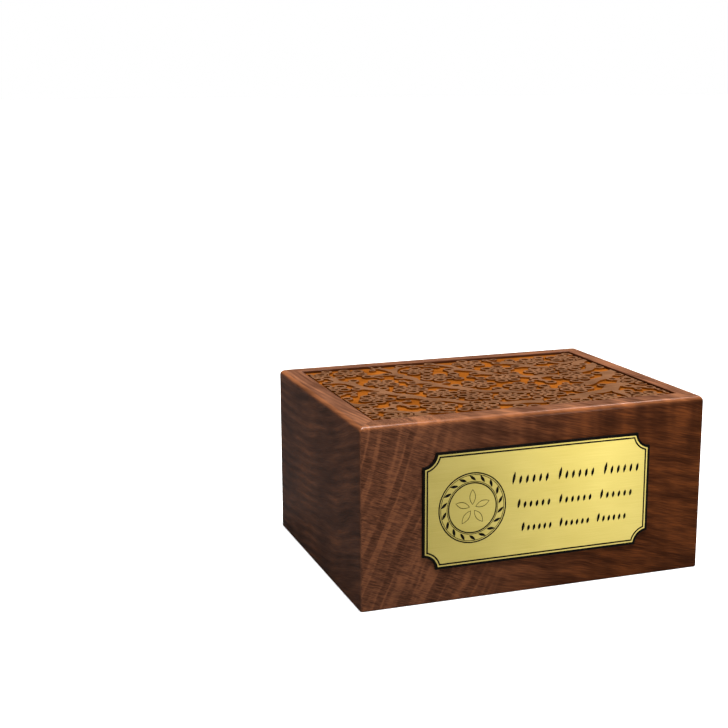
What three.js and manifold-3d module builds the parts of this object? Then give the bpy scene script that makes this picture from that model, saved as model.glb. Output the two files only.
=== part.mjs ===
// Cremation urn box: a mitred wooden box with a carved blossom-tree top and a brass name plate.
// Units are millimetres, +Z is up, the name plate faces -Y, and the origin is the middle of the underside.

import * as THREE from 'three';
import { ConvexGeometry } from 'three/addons/geometries/ConvexGeometry.js';
import { mergeVertices } from 'three/addons/utils/BufferGeometryUtils.js';
import Module from 'manifold-3d';

const wasm = await Module();
wasm.setup();

// Driving dimensions of the box
const BOX_W = 190;
const BOX_D = 142;
const BOX_H = 94;
const WALL_T = 10.5;
const TOP_ROUND = 3;
const CORNER_ROUND = 1.2;
const FOOT_EASE = 0.8;
const JOINT_GAP = 0.3;

// Facets of the rounded edges, how far a cut runs past the face it opens, and when corners count as one
const ROUND_STEPS = 6;
const CORNER_STEPS = 3;
const CUT_PAST = 1;
const WELD = 1e-5;

// Base panel, set in a rebate in the walls
const BASE_T = 6;
const REBATE = 5;

// Carved top panel: its tongue lies in a groove in the walls, its relief ends just under the rim
const PANEL_T = 8.6;
const RIM_STEP = 0.4;
const TONGUE_T = 4;
const TONGUE = 4;
const RELIEF = 1.1;
const RELIEF_ROOT = 1;
const SHADOW_LINE = 1.2;

// Name plate
const PLATE_W = 126;
const PLATE_H = 60;
const PLATE_T = 1;
const PLATE_Z = 47.7;
const PLATE_SCOOP = 7;
const ENGRAVING = 0.2;

// Rows of engraved strokes on the plate: first and last place along it, height above its middle, size.
// They stand in groups, a tall stroke first, with one place left open between groups.
const STROKE_ROWS = [
  { from: -14, to: 56, up: 13, tall: 7 },
  { from: -11, to: 52.5, up: -0.5, tall: 5.4 },
  { from: -8.5, to: 49.5, up: -13, tall: 5.2 },
];
const STROKE_PLACES = 20;
const STROKE_GROUP = 7;
const STROKE_LOW = 0.68;
const STROKE_W = 1.1;
const STROKE_LEAN = 0.2;

// Medallion on the plate: two rings, a wreath of leaves between them and a rosette in the middle
const MEDAL_X = -36.4;
const MEDAL_RINGS = [18.3, 13.2];
const MEDAL_LINE = 0.7;
const MEDAL_SIDES = 16;
const LEAVES = 18;
const LEAF_AT = 15.4;
const LEAF = { long: 4.4, wide: 1.5, turn: 0.9 };
const ROSETTE_AT = 5.6;
const ROSETTE_LEAF = { long: 7.6, wide: 3, turn: 0 };

// Limbs of the carved tree, seen from above with the panel's middle as origin: they leave the right
// border and sweep to the left and back. Each is one cubic curve with a width at either end.
const LIMBS = {
  lower: { path: [[88, -8], [44, -68], [-44, -76], [-76, 44]], root: 6.6, tip: 3.8 },
  middle: { path: [[88, 10], [48, -48], [-28, -44], [-36, 46]], root: 6, tip: 3.4 },
  upper: { path: [[88, 32], [60, -15], [18, -2], [0, 47]], root: 5.2, tip: 3.2 },
  crown: { path: [[88, 42], [66, 16], [43, 20], [36, 48]], root: 4.6, tip: 3 },
  spur: { path: [[88, 50], [74, 27], [58, 30], [56, 50]], root: 4.2, tip: 2.8 },
  corner: { path: [[-87, -8], [-81, -40], [-66, -46], [-50, -64]], root: 4.6, tip: 3.4 },
  foot: { path: [[66, -28], [60, -38], [57, -48], [60, -64]], root: 4.6, tip: 3.4 },
};
const LIMB_STEP = 7.5;
const MARKS_PER_STEP = 4;
const WOBBLE = 1;
const WAVE = 21;

// Rows of blossoms beside the limbs: side 1 is the inner side, shares run from root to tip
const BLOSSOM_ROWS = [
  { limb: 'lower', side: 1, reach: 14.5, from: 0.24, to: 0.86, count: 7 },
  { limb: 'lower', side: 1, reach: 16.5, from: 1, to: 1, count: 1 },
  { limb: 'middle', side: 1, reach: 14, from: 0.19, to: 0.98, count: 6 },
  { limb: 'upper', side: 1, reach: 13, from: 0.22, to: 1, count: 4 },
  { limb: 'crown', side: 1, reach: 15.5, from: 0.66, to: 0.66, count: 1 },
  { limb: 'lower', side: -1, reach: 14.5, from: 0.62, to: 0.88, count: 3 },
  { limb: 'lower', side: -1, reach: 13.5, from: 0.45, to: 0.45, count: 1 },
  { limb: 'corner', side: -1, reach: 12, from: 0.8, to: 0.8, count: 1 },
  { limb: 'foot', side: 1, reach: 12.5, from: 0.22, to: 0.8, count: 2 },
  { limb: 'foot', side: -1, reach: 10.5, from: 0.8, to: 0.8, count: 1 },
];
const PETALS = 5;
const PETAL_R = 4;
const PETAL_AT = 6.5;
const PETAL_POINTS = 4;
const EYE_R = 2.1;
const EYE_AT = 6.7;
const BLOSSOM_R = PETAL_AT + PETAL_R;
const BLOSSOM_TURN = 0.4;

// Ring buds on twigs
const BUD_R = 3.2;
const BUD_EYE_R = 1.8;
const BUD_SIDES = 6;
const TWIG_W = 2.8;
const TWIG_ROOT_W = 3.9;
const TWIG_EVERY = 6;
const TWIG_LENGTH = 8.5;
const TWIG_TURN = 42;
const FORK_LENGTH = 13;
const FORK_TURN = 34;
const LONGEST_STEM = 14;

// How close the carver sets one form to the next
const ROW_SPACING = 1.75;
const FILL_SPACING = 2.05;
const FILL_LIMB_GAP = 0.35;
const BUD_SPACING = 3.5;
const BUD_LIMB_GAP = 0.7;
const BUD_BLOSSOM_GAP = 0.6;
const BUD_BORDER = 0.2;
const GRID = 2;
const BLOSSOM_BACK_STRIP = 12;
const BUD_BACK_STRIP = 2.2;

// Derived sizes. The plate stands proud of the front, so the wood sits back by half of it.
const BODY_Y = PLATE_T / 2;
const FRONT_Y = BODY_Y - BOX_D / 2;
const INNER_W = BOX_W - 2 * WALL_T;
const INNER_D = BOX_D - 2 * WALL_T;
const PANEL_TOP_Z = BOX_H - RIM_STEP;
const PANEL_Z = PANEL_TOP_Z - PANEL_T;
const GROUND_Z = PANEL_TOP_Z - RELIEF;
const GROOVE_TOP_Z = PANEL_Z + TONGUE_T + JOINT_GAP;
const HALF_W = INNER_W / 2 - SHADOW_LINE;
const HALF_D = INNER_D / 2 - SHADOW_LINE;

const darkWood = new THREE.MeshStandardMaterial({ color: 0x6e4129, roughness: 0.42, metalness: 0 });
const carvedWood = new THREE.MeshStandardMaterial({ color: 0x8c5f4b, roughness: 0.7, metalness: 0 });
const brass = new THREE.MeshStandardMaterial({ color: 0xd6c06b, roughness: 0.35, metalness: 1 });

// Solids

function solid(geometry) {
  const bare = geometry.clone();
  bare.deleteAttribute('normal');
  bare.deleteAttribute('uv');
  const merged = mergeVertices(bare, WELD);
  return new wasm.Manifold(new wasm.Mesh({
    numProp: 3,
    vertProperties: new Float32Array(merged.attributes.position.array),
    triVerts: new Uint32Array(merged.index.array),
  }));
}

function piece(name, manifold, material, place) {
  const { vertProperties, triVerts } = manifold.getMesh();
  const geometry = new THREE.BufferGeometry();
  geometry.setAttribute('position', new THREE.BufferAttribute(new Float32Array(vertProperties), 3));
  geometry.setIndex(new THREE.BufferAttribute(new Uint32Array(triVerts), 1));
  geometry.applyMatrix4(place);
  geometry.computeVertexNormals();
  const mesh = new THREE.Mesh(geometry, material);
  mesh.name = name;
  return mesh;
}

function prism(points, low, high) {
  const shape = new THREE.Shape(points.map(([x, y]) => new THREE.Vector2(x, y)));
  const geometry = new THREE.ExtrudeGeometry(shape, { depth: high - low, bevelEnabled: false });
  return solid(geometry.translate(0, 0, low));
}

function block(width, depth, low, high) {
  return solid(new THREE.BoxGeometry(width, depth, high - low).translate(0, 0, (low + high) / 2));
}

// A slender four-sided pit, deepest in the middle. Its sides run on above the face that it opens.
function pit(centre, { long, wide, turn }, top, deep) {
  const reaches = [long, wide, long, wide];
  const rim = reaches.map((reach, i) => polar(centre, reach, turn + (i * Math.PI) / 2));
  const corners = rim.map(([x, y]) => new THREE.Vector3(x, y, top + deep));
  const bottom = new THREE.Vector3(...centre, top - deep);
  return solid(new ConvexGeometry([...corners, bottom]));
}

function polar([x, y], radius, angle) {
  return [x + radius * Math.cos(angle), y + radius * Math.sin(angle)];
}

function ring(centre, radius, sides, turn = 0) {
  return Array.from({ length: sides }, (_, i) => polar(centre, radius, turn + (2 * Math.PI * i) / sides));
}

function distance(a, b) {
  return Math.hypot(a[0] - b[0], a[1] - b[1]);
}

function join(whole, next) {
  return whole.add(next);
}

// Walls: one moulded board section, run along each side and mitred at both ends

function boardSection() {
  const section = new THREE.Shape();
  section.moveTo(FOOT_EASE, 0);
  section.lineTo(WALL_T - REBATE, 0);
  section.lineTo(WALL_T - REBATE, BASE_T);
  section.lineTo(WALL_T, BASE_T);
  section.lineTo(WALL_T, PANEL_Z);
  section.lineTo(WALL_T - TONGUE, PANEL_Z);
  section.lineTo(WALL_T - TONGUE, GROOVE_TOP_Z);
  section.lineTo(WALL_T, GROOVE_TOP_Z);
  section.lineTo(WALL_T, BOX_H);
  section.lineTo(TOP_ROUND, BOX_H);
  section.absarc(TOP_ROUND, BOX_H - TOP_ROUND, TOP_ROUND, Math.PI / 2, Math.PI, false);
  section.lineTo(0, FOOT_EASE);
  return section;
}

function board(length, offset, turn) {
  const options = { depth: 1, curveSegments: ROUND_STEPS, bevelEnabled: false };
  const geometry = new THREE.ExtrudeGeometry(boardSection(), options);
  const at = geometry.attributes.position;
  for (let i = 0; i < at.count; i += 1) {
    const inset = at.getX(i);
    const end = at.getZ(i) > 0 ? 1 : -1;
    const mitre = length / 2 - inset - JOINT_GAP / 2;
    at.setXYZ(i, end * mitre, inset - offset, at.getY(i));
  }
  return solid(geometry.rotateZ(turn));
}

function roundedPlan() {
  const x = BOX_W / 2 - CORNER_ROUND;
  const y = BOX_D / 2 - CORNER_ROUND;
  const corners = [[x, y, 0], [-x, y, 1], [-x, -y, 2], [x, -y, 3]];
  const shares = Array.from({ length: CORNER_STEPS + 1 }, (_, i) => i / CORNER_STEPS);
  return corners.flatMap(([cx, cy, quarter]) => (
    shares.map((share) => polar([cx, cy], CORNER_ROUND, (quarter + share) * (Math.PI / 2)))
  ));
}

function wall(length, offset, turn) {
  const outer = prism(roundedPlan(), -CUT_PAST, BOX_H + CUT_PAST);
  return board(length, offset, turn).intersect(outer);
}

// Carved tree: limbs first, then blossoms and buds wherever the wood between them leaves room

function limbLine(path) {
  const curve = new THREE.CubicBezierCurve(...path.map(([x, y]) => new THREE.Vector2(x, y)));
  const length = curve.getLength();
  const steps = Math.round(length / LIMB_STEP);
  return Array.from({ length: steps + 1 }, (_, i) => {
    const point = curve.getPointAt(i / steps);
    const tangent = curve.getTangentAt(i / steps);
    const sway = WOBBLE * Math.sin((2 * Math.PI * length * i) / (steps * WAVE));
    return [point.x - sway * tangent.y, point.y + sway * tangent.x];
  });
}

function placeAlong(line, share) {
  const last = line.length - 1;
  const k = Math.min(Math.floor(share * last), last - 1);
  const f = share * last - k;
  const [a, b] = [line[k], line[k + 1]];
  const point = [a[0] + (b[0] - a[0]) * f, a[1] + (b[1] - a[1]) * f];
  return { point, heading: Math.atan2(b[1] - a[1], b[0] - a[0]) };
}

function limbWidth(limb, share) {
  return limb.root + (limb.tip - limb.root) * share;
}

function gridPoints(top) {
  const rows = Math.floor((HALF_D + top) / GRID);
  const columns = Math.floor((2 * HALF_W) / GRID);
  return Array.from({ length: rows * columns }, (_, i) => [
    -HALF_W + GRID * ((i % columns) + 1),
    top - GRID * (Math.floor(i / columns) + 1),
  ]);
}

function treeLayout() {
  const lines = {};
  const marks = [];
  for (const [name, limb] of Object.entries(LIMBS)) {
    lines[name] = limbLine(limb.path);
    const count = MARKS_PER_STEP * (lines[name].length - 1);
    for (let i = 0; i <= count; i += 1) {
      marks.push({ at: placeAlong(lines[name], i / count).point, half: limbWidth(limb, i / count) / 2 });
    }
  }
  const blossoms = [];
  const buds = [];
  const twigs = [];
  const limbGap = (p) => Math.min(...marks.map(({ at, half }) => distance(p, at) - half));
  const clearOfBlossoms = (p, gap) => blossoms.every(({ at }) => distance(p, at) > gap);

  for (const { limb, side, reach, from, to, count } of BLOSSOM_ROWS) {
    for (let i = 0; i < count; i += 1) {
      const share = from + ((to - from) * i) / Math.max(count - 1, 1);
      const { point, heading } = placeAlong(lines[limb], share);
      const at = polar(point, reach, heading - (side * Math.PI) / 2);
      if (clearOfBlossoms(at, ROW_SPACING * BLOSSOM_R)) blossoms.push({ at, turn: heading });
    }
  }
  for (const at of gridPoints(HALF_D - BLOSSOM_BACK_STRIP)) {
    if (limbGap(at) > FILL_LIMB_GAP * BLOSSOM_R && clearOfBlossoms(at, FILL_SPACING * BLOSSOM_R)) {
      blossoms.push({ at, turn: BLOSSOM_TURN * blossoms.length });
    }
  }

  const budFits = (p) => Math.abs(p[0]) < HALF_W - BUD_BORDER * BUD_R
    && Math.abs(p[1]) < HALF_D - BUD_BORDER * BUD_R
    && clearOfBlossoms(p, BLOSSOM_R + BUD_BLOSSOM_GAP * BUD_R)
    && buds.every((bud) => distance(p, bud) > BUD_SPACING * BUD_R)
    && limbGap(p) > BUD_LIMB_GAP * BUD_R;
  const growTwig = (root, tip) => {
    if (!budFits(tip)) return;
    twigs.push([root, tip]);
    buds.push(tip);
  };
  for (const line of Object.values(lines)) {
    const end = placeAlong(line, 1);
    for (const turn of [-FORK_TURN, 0, FORK_TURN]) {
      growTwig(end.point, polar(end.point, FORK_LENGTH, end.heading + THREE.MathUtils.degToRad(turn)));
    }
    const count = Math.floor(((line.length - 1) * LIMB_STEP) / TWIG_EVERY);
    for (let i = 1; i < count; i += 1) {
      const { point, heading } = placeAlong(line, i / count);
      for (const turn of [TWIG_TURN, -TWIG_TURN]) {
        growTwig(point, polar(point, TWIG_LENGTH, heading + THREE.MathUtils.degToRad(turn)));
      }
    }
  }
  for (const tip of gridPoints(HALF_D - BUD_BACK_STRIP)) {
    const roots = [...marks.map(({ at }) => at), ...blossoms.map(({ at }) => at), ...buds];
    const root = roots.reduce((best, p) => (distance(tip, p) < distance(tip, best) ? p : best));
    if (distance(tip, root) < LONGEST_STEM) growTwig(root, tip);
  }
  return { lines, blossoms, buds, twigs };
}

function strokeOutline(line, widthAt) {
  const last = line.length - 1;
  const side = (sign) => line.map((point, i) => {
    const before = line[Math.max(i - 1, 0)];
    const after = line[Math.min(i + 1, last)];
    const heading = Math.atan2(after[1] - before[1], after[0] - before[0]);
    return polar(point, widthAt(i / last) / 2, heading + (sign * Math.PI) / 2);
  });
  return [...side(-1), ...side(1).reverse()];
}

function blossomOutline({ at, turn }) {
  const sector = (2 * Math.PI) / PETALS;
  const reach = (off) => {
    const across = PETAL_AT * Math.sin(off);
    return PETAL_AT * Math.cos(off) + Math.sqrt(PETAL_R ** 2 - across ** 2);
  };
  return Array.from({ length: PETALS * PETAL_POINTS }, (_, i) => {
    const off = ((i % PETAL_POINTS) / PETAL_POINTS - 0.5) * sector;
    const petal = Math.floor(i / PETAL_POINTS) * sector;
    return polar(at, reach(off), turn + petal + off);
  });
}

function carvedRelief() {
  const { lines, blossoms, buds, twigs } = treeLayout();
  const raised = (outline) => prism(outline, GROUND_Z - RELIEF_ROOT, PANEL_TOP_Z);
  const forms = [
    ...Object.entries(LIMBS).map(([name, limb]) => (
      strokeOutline(lines[name], (share) => limbWidth(limb, share))
    )),
    ...twigs.map((twig) => strokeOutline(twig, (share) => TWIG_ROOT_W + (TWIG_W - TWIG_ROOT_W) * share)),
    ...buds.map((bud) => ring(bud, BUD_R, BUD_SIDES)),
    ...blossoms.map(blossomOutline),
  ];
  const drilled = (at, radius) => (
    pit(at, { long: 2 * radius, wide: 2 * radius, turn: 0 }, PANEL_TOP_Z, RELIEF)
  );
  const petalEyes = blossoms.flatMap(({ at, turn }) => ring(at, EYE_AT, PETALS, turn));
  const eyes = [
    ...petalEyes.map((eye) => drilled(eye, EYE_R)),
    ...buds.map((bud) => drilled(bud, BUD_EYE_R)),
  ];
  const tree = forms.map(raised).reduce(join);
  return tree.intersect(block(2 * HALF_W, 2 * HALF_D, 0, BOX_H)).subtract(eyes.reduce(join));
}

function carvedPanel() {
  const slab = block(INNER_W - 2 * JOINT_GAP, INNER_D - 2 * JOINT_GAP, PANEL_Z, GROUND_Z);
  const reach = 2 * (TONGUE - JOINT_GAP);
  const tongue = block(INNER_W + reach, INNER_D + reach, PANEL_Z, PANEL_Z + TONGUE_T);
  return slab.add(tongue).add(carvedRelief());
}

function basePanel() {
  const reach = 2 * (REBATE - JOINT_GAP);
  return block(INNER_W + reach, INNER_D + reach, 0, BASE_T);
}

// Name plate with scooped corners, a ringed medallion and rows of slanting strokes

function plateShape() {
  const x = PLATE_W / 2;
  const y = PLATE_H / 2;
  const quarter = Math.PI / 2;
  const shape = new THREE.Shape();
  shape.absarc(-x, -y, PLATE_SCOOP, quarter, 0, true);
  shape.absarc(x, -y, PLATE_SCOOP, 2 * quarter, quarter, true);
  shape.absarc(x, y, PLATE_SCOOP, 3 * quarter, 2 * quarter, true);
  shape.absarc(-x, y, PLATE_SCOOP, 4 * quarter, 3 * quarter, true);
  return shape;
}

function engraved(centre, form) {
  return pit(centre, form, PLATE_T, ENGRAVING);
}

function strokes() {
  const places = Array.from({ length: STROKE_PLACES }, (_, i) => i);
  const used = places.filter((i) => i % STROKE_GROUP !== STROKE_GROUP - 1);
  return STROKE_ROWS.flatMap(({ from, to, up, tall }) => used.map((i) => {
    const long = i % STROKE_GROUP === 0 ? tall : STROKE_LOW * tall;
    const centre = [from + ((to - from) * i) / (STROKE_PLACES - 1), up - tall / 2 + long / 2];
    return engraved(centre, { long, wide: STROKE_W, turn: Math.PI / 2 - STROKE_LEAN });
  }));
}

function medallion() {
  const centre = [MEDAL_X, 0];
  const disc = (radius) => (
    prism(ring(centre, radius, MEDAL_SIDES), PLATE_T - ENGRAVING, PLATE_T + CUT_PAST)
  );
  const rings = MEDAL_RINGS.map((radius) => disc(radius).subtract(disc(radius - MEDAL_LINE)));
  const spray = (count, at, leaf) => Array.from({ length: count }, (_, i) => {
    const angle = Math.PI / 2 + (2 * Math.PI * i) / count;
    return engraved(polar(centre, at, angle), { ...leaf, turn: angle + leaf.turn });
  });
  return [...rings, ...spray(LEAVES, LEAF_AT, LEAF), ...spray(PETALS, ROSETTE_AT, ROSETTE_LEAF)];
}

function namePlate() {
  const options = { depth: PLATE_T, curveSegments: ROUND_STEPS, bevelEnabled: false };
  const blank = solid(new THREE.ExtrudeGeometry(plateShape(), options));
  return blank.subtract([...strokes(), ...medallion()].reduce(join));
}

const woodPlace = new THREE.Matrix4().makeTranslation(0, BODY_Y, 0);
const platePlace = new THREE.Matrix4().makeRotationX(Math.PI / 2).setPosition(0, FRONT_Y, PLATE_Z);
const quarterTurn = Math.PI / 2;

const urn = new THREE.Group();
urn.name = 'cremation_urn_box';
urn.add(
  piece('front_wall', wall(BOX_W, BOX_D / 2, 0), darkWood, woodPlace),
  piece('back_wall', wall(BOX_W, BOX_D / 2, 2 * quarterTurn), darkWood, woodPlace),
  piece('left_wall', wall(BOX_D, BOX_W / 2, -quarterTurn), darkWood, woodPlace),
  piece('right_wall', wall(BOX_D, BOX_W / 2, quarterTurn), darkWood, woodPlace),
  piece('base_panel', basePanel(), darkWood, woodPlace),
  piece('carved_top_panel', carvedPanel(), carvedWood, woodPlace),
  piece('name_plate', namePlate(), brass, platePlace),
);

export default urn;
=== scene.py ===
import math

import bpy
import numpy as np
from mathutils import Matrix, Vector
from mathutils.geometry import delaunay_2d_cdt


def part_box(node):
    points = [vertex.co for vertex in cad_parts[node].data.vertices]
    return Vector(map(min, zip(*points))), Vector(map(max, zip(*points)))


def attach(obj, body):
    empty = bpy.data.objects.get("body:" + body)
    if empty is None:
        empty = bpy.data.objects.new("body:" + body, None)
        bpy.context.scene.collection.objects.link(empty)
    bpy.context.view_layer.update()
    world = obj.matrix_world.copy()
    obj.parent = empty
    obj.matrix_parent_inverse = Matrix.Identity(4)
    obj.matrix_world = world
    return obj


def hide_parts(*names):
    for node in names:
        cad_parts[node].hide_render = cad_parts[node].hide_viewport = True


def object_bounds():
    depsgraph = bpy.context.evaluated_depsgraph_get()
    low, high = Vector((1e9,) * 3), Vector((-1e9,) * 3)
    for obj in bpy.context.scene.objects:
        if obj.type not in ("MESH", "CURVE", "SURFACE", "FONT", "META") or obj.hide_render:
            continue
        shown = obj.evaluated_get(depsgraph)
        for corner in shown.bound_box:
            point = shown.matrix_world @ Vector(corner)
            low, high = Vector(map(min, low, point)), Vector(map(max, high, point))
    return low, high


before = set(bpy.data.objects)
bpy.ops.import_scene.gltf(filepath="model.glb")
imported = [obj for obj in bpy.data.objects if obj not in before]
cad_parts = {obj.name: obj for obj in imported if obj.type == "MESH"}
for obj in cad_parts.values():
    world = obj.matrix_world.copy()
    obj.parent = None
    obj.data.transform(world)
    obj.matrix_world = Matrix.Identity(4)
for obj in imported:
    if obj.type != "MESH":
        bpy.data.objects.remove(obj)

cad_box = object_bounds()

# Sizes are in millimetres in the frame's axes, and become metres when a mesh is made.
MM = 0.001


def node_box(node):
    low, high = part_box(node)
    return np.array(low) / MM, np.array(high) / MM


# Sizes read from the frame
BOX_W = (cad_box[1].x - cad_box[0].x) / MM
BOX_H = (cad_box[1].z - cad_box[0].z) / MM
FRONT_Y = node_box("front_wall")[0][1]
BACK_Y = node_box("back_wall")[1][1]
BOX_D = BACK_Y - FRONT_Y
BODY_Y = (FRONT_Y + BACK_Y) / 2
WALL_T = node_box("front_wall")[1][1] - FRONT_Y
BASE_T = node_box("base_panel")[1][2]
PANEL_LOW, PANEL_HIGH = node_box("carved_top_panel")
PLATE_LOW, PLATE_HIGH = node_box("name_plate")

# Boards: rounded edges, rebate for the base, groove for the top panel
TOP_ROUND = 3.0
CORNER_ROUND = 1.2
FOOT_ROUND = 0.8
RIM_EASE = 0.4
REBATE = 5.0
TONGUE = 4.0
TONGUE_T = 4.0
JOINT_GAP = 0.3
BASE_EASE = 0.3
ARC_STEPS = 10
CORNER_STEPS = 5
# Faces that meet at more than this many degrees keep a sharp edge
SHARP_DEG = 25.0

# Carved panel
RELIEF = 1.1
SHADOW_LINE = 1.2
INNER_W = BOX_W - 2 * WALL_T
INNER_D = BOX_D - 2 * WALL_T
HALF_W = INNER_W / 2 - SHADOW_LINE
HALF_D = INNER_D / 2 - SHADOW_LINE
RELIEF_STEP = 0.36
# Distance from a form's outline, and how far under the rim the wood lies there
RELIEF_PROFILE = ((-0.30, 0.0), (-0.06, 0.14), (0.12, RELIEF))
# Kinds of surface in the order of the panel's materials; tops end within a share of the profile's first step
TOP, SIDE, GROUND, PIT = range(4)
TOP_SHARE = 0.9
FLAT = 1e-3

# The carved tree: limbs as cubic curves with a width at either end, from above, panel's middle as origin
LIMBS = {
    "lower": (((88, -8), (44, -68), (-44, -76), (-76, 44)), 6.6, 3.8),
    "middle": (((88, 10), (48, -48), (-28, -44), (-36, 46)), 6.0, 3.4),
    "upper": (((88, 32), (60, -15), (18, -2), (0, 47)), 5.2, 3.2),
    "crown": (((88, 42), (66, 16), (43, 20), (36, 48)), 4.6, 3.0),
    "spur": (((88, 50), (74, 27), (58, 30), (56, 50)), 4.2, 2.8),
    "corner": (((-87, -8), (-81, -40), (-66, -46), (-50, -64)), 4.6, 3.4),
    "foot": (((66, -28), (60, -38), (57, -48), (60, -64)), 4.6, 3.4),
}
LIMB_STEP = 7.5
DRAWN_STEP = 1.5
FILLET = 2.4
MARKS_PER_STEP = 4
CURVE_PARTS = 200
NUDGE = 1e-4
WOBBLE = 1.0
WAVE = 21.0

# Rows of blossoms: limb, side (1 is the inner side), reach, first and last share of the limb, count
BLOSSOM_ROWS = (
    ("lower", 1, 14.5, 0.24, 0.86, 7),
    ("lower", 1, 16.5, 1.0, 1.0, 1),
    ("middle", 1, 14.0, 0.19, 0.98, 6),
    ("upper", 1, 13.0, 0.22, 1.0, 4),
    ("crown", 1, 15.5, 0.66, 0.66, 1),
    ("lower", -1, 14.5, 0.62, 0.88, 3),
    ("lower", -1, 13.5, 0.45, 0.45, 1),
    ("corner", -1, 12.0, 0.8, 0.8, 1),
    ("foot", 1, 12.5, 0.22, 0.8, 2),
    ("foot", -1, 10.5, 0.8, 0.8, 1),
)
PETALS = 5
PETAL_R = 4.0
PETAL_AT = 6.5
HEART_R = 4.8
EYE_AT = 6.7
PIP_R = 0.9
PIP_AT = 3.4
DRAWN_PETAL_R = 3.6
DRAWN_EYE_R = 2.0
BLOSSOM_R = PETAL_AT + PETAL_R
BLOSSOM_TURN = 0.4
BLOSSOM_GROOVE = 0.6

BUD_R = 3.2
BUD_EYE_R = 1.8
TWIG_W = 2.8
TWIG_ROOT_W = 3.9
TWIG_EVERY = 6.0
TWIG_LENGTH = 8.5
TWIG_TURN = 42.0
FORK_LENGTH = 13.0
FORK_TURN = 34.0
LONGEST_STEM = 14.0

# Sprigs: the finest buds, where the ground between the others is widest
SPRIG_R = 1.9
SPRIG_EYE_R = 0.9
SPRIG_STEM_W = 1.4
SPRIG_FILLET = 1.4
SPRIG_GAP = 4.0

ROW_SPACING = 1.75
FILL_SPACING = 2.05
FILL_LIMB_GAP = 0.35
BUD_SPACING = 3.5
BUD_LIMB_GAP = 0.7
BUD_BLOSSOM_GAP = 0.6
BUD_BORDER = 0.2
GRID = 2.0
BLOSSOM_BACK_STRIP = 12.0
BUD_BACK_STRIP = 2.2

# Name plate: borders as insets from its edge, engraving cut to a slope, medallion and rows of strokes
PLATE_SCOOP = 7.0
SCOOP_STEPS = 12
BLACK_EDGE = 1.3
GOLD_LINE_END = 2.0
BLACK_LINE_END = 2.85
ENGRAVING = 0.2
ENGRAVED_SLOPE = 0.2
PLATE_STEP = 0.15
STROKE_ROWS = ((-14.0, 56.0, 13.0, 7.0), (-11.0, 52.5, -0.5, 5.4), (-8.5, 49.5, -13.0, 5.2))
STROKE_PLACES = 20
STROKE_GROUP = 7
STROKE_LOW = 0.68
STROKE_W = 1.5
STROKE_LEAN = 0.2
MEDAL_X = -36.4
MEDAL_RINGS = (18.3, 13.2)
MEDAL_LINE = 0.7
HAIR_RINGS = (17.2, 13.8)
HAIRLINE = 0.34
LEAVES = 18
LEAF_AT = 15.4
LEAF = (4.4, 1.5, 0.9)
ROSETTE_AT = 5.6
ROSETTE_LEAF = (7.6, 3.0, 0.0)

# Grain of the front: lean and curve of its bands, and the places where its parts begin and end
BAND_LEAN = 0.30
BAND_CURVE = 0.0012
BANDS_TO_STREAKS = (-65.0, -25.0)
COLUMNS_UP = (50.0, 80.0)
DARK_FOOT_UP = (5.0, 35.0)
DARK_FOOT_ALONG = (-10.0, 50.0)
REDDER_ALONG = (-80.0, 55.0)
# Grain of the other boards: spacing of the rings, and the curve of the lines on the short ones
RING = 5.4
RISE = -0.00124
# Depths under the rim's top: where its painted pale sheen is full, where the lighter edge (wear and painted
# light) begins and is full, where it fades again
SHEEN_FULL = 0.3
EDGE_WEAR_AND_LIGHT = (1.3 * TOP_ROUND, 0.7 * TOP_ROUND)
EDGE_LIGHT_FADE = (0.6, 0.1)
# Share of the rim's eased inner edge where its painted shade begins and is full
INNER_SHADE = (1.2, 0.3)
# How far round a corner the carving gets painted shade
CORNER_REACH = 3.5

# Light: angles in degrees, the key's from straight overhead and to the right of the front
KEY_LIGHT = 9.4
KEY_WIDE = 30.0
KEY_LOW = 10.0
KEY_TURN = 15.0
# Softboxes, in watts and metres: power, place, width and height
SOFTBOXES = {
    "front": (2.15, (0.55, -1.03, 0.16), (0.11, 0.3)),
    "overhead": (6.0, (0.75, 0.05, 1.3), (0.26, 0.26)),
}
FILL_LIGHT = 0.1
BACKDROP = 1.0
FLOOR_SHADE = 0.18
FLOOR_SEEN = 0.5
FLOOR_GLOW = 0.5
FLOOR_REACH = 40.0
FLOOR_LAP = 2.0
UNDER_LIGHT = 1.0
UNDER_FULL = -0.1

# Camera, in metres and degrees: the photograph's view of the box
IMAGE_PX = 728
FOCAL_PX = 1321.8
CAMERA_AT = (-0.29165, -0.64707, 0.25087)
CAMERA_TURN = 19.044
CAMERA_DIP = 11.712
CAMERA_ROLL = -0.285
SENSOR_MM = 36.0


# Points and curves in the plane

def polar(point, radius, angle):
    return (point[0] + radius * math.cos(angle), point[1] + radius * math.sin(angle))


def bezier(path, t):
    a, b, c, d = path
    s = 1 - t
    return tuple(
        s**3 * a[k] + 3 * s * s * t * b[k] + 3 * s * t * t * c[k] + t**3 * d[k] for k in (0, 1)
    )


def limb_line(path, step):
    """Evenly spaced points along a limb's curve, swaying a little from side to side."""
    fine = [bezier(path, i / CURVE_PARTS) for i in range(CURVE_PARTS + 1)]
    run = np.concatenate([[0.0], np.cumsum([math.dist(a, b) for a, b in zip(fine, fine[1:])])])
    steps = round(run[-1] / step)
    line = []
    for i in range(steps + 1):
        done = run[-1] * i / steps
        t = np.interp(done, run, np.arange(CURVE_PARTS + 1)) / CURVE_PARTS
        x, y = bezier(path, t)
        before = bezier(path, max(t - NUDGE, 0))
        after = bezier(path, min(t + NUDGE, 1))
        heading = math.atan2(after[1] - before[1], after[0] - before[0])
        sway = WOBBLE * math.sin(2 * math.pi * done / WAVE)
        line.append((x - sway * math.sin(heading), y + sway * math.cos(heading)))
    return line


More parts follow.
